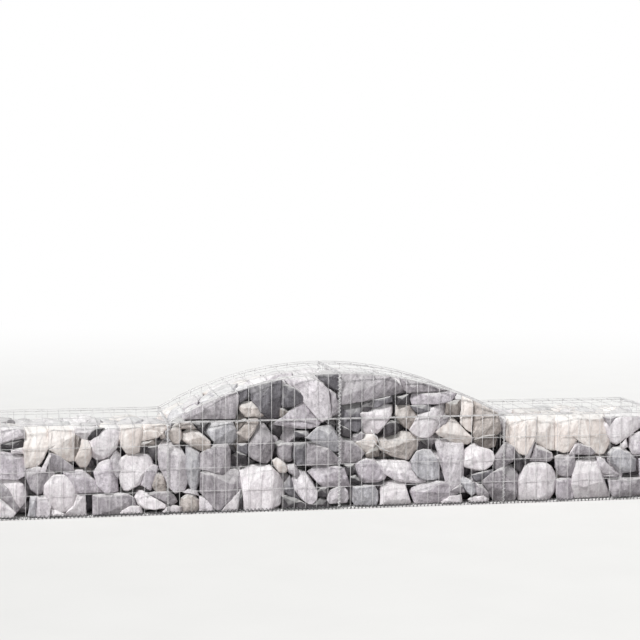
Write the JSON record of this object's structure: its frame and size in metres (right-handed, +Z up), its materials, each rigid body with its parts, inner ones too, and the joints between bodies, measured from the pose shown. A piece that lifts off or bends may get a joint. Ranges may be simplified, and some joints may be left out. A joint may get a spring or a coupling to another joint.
{
  "type": "arched gabion wall",
  "caption": "Stone-filled welded wire gabion basket with a raised arch in its middle, closed by lids and spiral binders.",
  "frame": {"origin": "on the ground under the top of the arch, midway between the front and back panels", "axes": "+X along the wall to the right as seen from the front, +Y towards the back, +Z up"},
  "size_m": [3.0198, 0.5168, 0.6128],
  "materials": {
    "mesh_wire": "galvanised, satin",
    "spiral_wire": "galvanised, satin",
    "stone": "rough quarried stone, pale grey"
  },
  "bodies": {
    "root": {"arch_back_left": "mesh_wire", "arch_back_right": "mesh_wire", "arch_front_left": "mesh_wire", "arch_front_right": "mesh_wire", "back_panel_1": "mesh_wire", "back_panel_2": "mesh_wire", "back_panel_3": "mesh_wire", "back_panel_4": "mesh_wire", "base_panel_1": "mesh_wire", "base_panel_2": "mesh_wire", "base_panel_3": "mesh_wire", "base_panel_4": "mesh_wire", "divider_centre": "mesh_wire", "divider_left": "mesh_wire", "divider_right": "mesh_wire", "end_panel_left": "mesh_wire", "end_panel_right": "mesh_wire", "front_panel_1": "mesh_wire", "front_panel_2": "mesh_wire", "front_panel_3": "mesh_wire", "front_panel_4": "mesh_wire", "lid_1": "mesh_wire", "lid_2": "mesh_wire", "lid_3": "mesh_wire", "lid_4": "mesh_wire", "spiral_back_1": "spiral_wire", "spiral_back_2": "spiral_wire", "spiral_back_3": "spiral_wire", "spiral_back_4": "spiral_wire", "spiral_back_5": "spiral_wire", "spiral_front_1": "spiral_wire", "spiral_front_2": "spiral_wire", "spiral_front_3": "spiral_wire", "spiral_front_4": "spiral_wire", "spiral_front_5": "spiral_wire", "spiral_top_1": "spiral_wire", "spiral_top_2": "spiral_wire", "spiral_top_3": "spiral_wire", "spiral_top_4": "spiral_wire", "spiral_top_5": "spiral_wire", "stone_fill_1": "stone", "stone_fill_2": "stone", "stone_fill_3": "stone", "stone_fill_4": "stone"}
  },
  "joints": []
}
